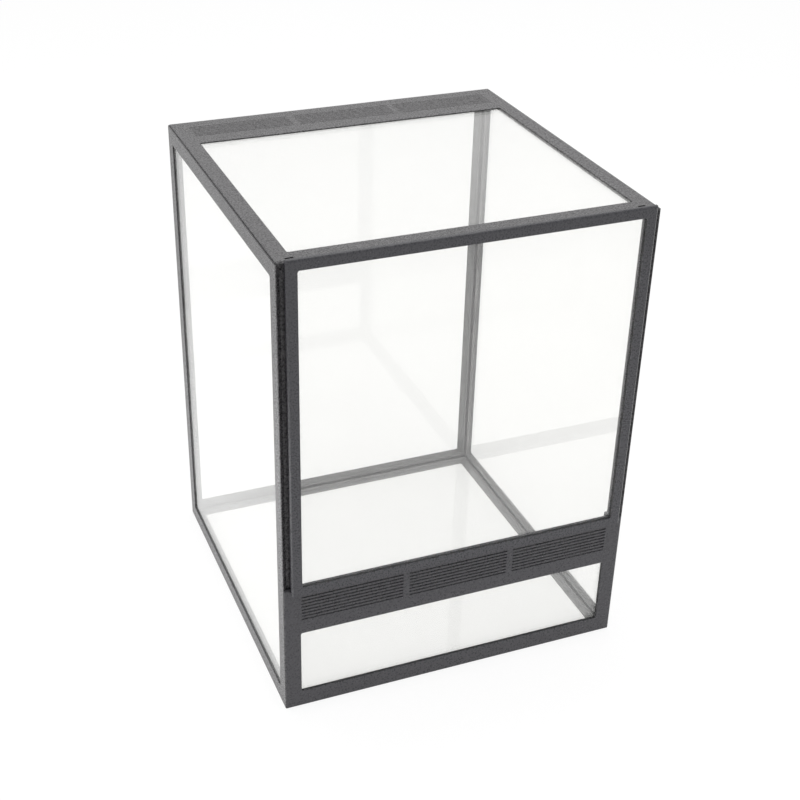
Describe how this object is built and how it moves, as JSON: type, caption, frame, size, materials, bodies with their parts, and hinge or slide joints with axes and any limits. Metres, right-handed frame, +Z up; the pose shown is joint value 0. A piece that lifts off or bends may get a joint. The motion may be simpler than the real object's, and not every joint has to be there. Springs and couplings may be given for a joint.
{
  "type": "reptile terrarium",
  "caption": "Upright box terrarium: clear panels in thin black mitred frames, fine vent slots low in front and at the top rear, and a front door that slides up and lifts out.",
  "frame": {"origin": "middle of the bounding box, on the surface that the box stands on", "axes": "+Z up, the door faces -Y, +X to the right seen from the front"},
  "size_m": [0.15, 0.1524, 0.202],
  "materials": {
    "case_frame": "fine-grained black moulded plastic",
    "door_frame": "fine-grained black moulded plastic",
    "retainer": "flat black adhesive strip",
    "clear_sheet": "clear polished acrylic sheet"
  },
  "bodies": {
    "case": {"left_frame": "case_frame", "left_pane": "clear_sheet", "left_retainer": "retainer", "right_frame": "case_frame", "right_pane": "clear_sheet", "right_retainer": "retainer", "back_frame": "case_frame", "back_pane": "clear_sheet", "back_retainer": "retainer", "base_frame": "case_frame", "base_pane": "clear_sheet", "base_retainer": "retainer", "top_frame": "case_frame", "top_pane": "clear_sheet", "top_retainer": "retainer", "front_frame": "case_frame", "front_pane": "clear_sheet", "front_retainer": "retainer"},
    "door": {"door_bezel": "door_frame", "door_retainer": "retainer", "door_pane": "clear_sheet", "door_carrier": "door_frame"}
  },
  "joints": [
    {"name": "door_slide", "type": "slide", "parent": "case", "child": "door", "axis": [0, 0, 1], "range_m": [0, 0.145]}
  ]
}
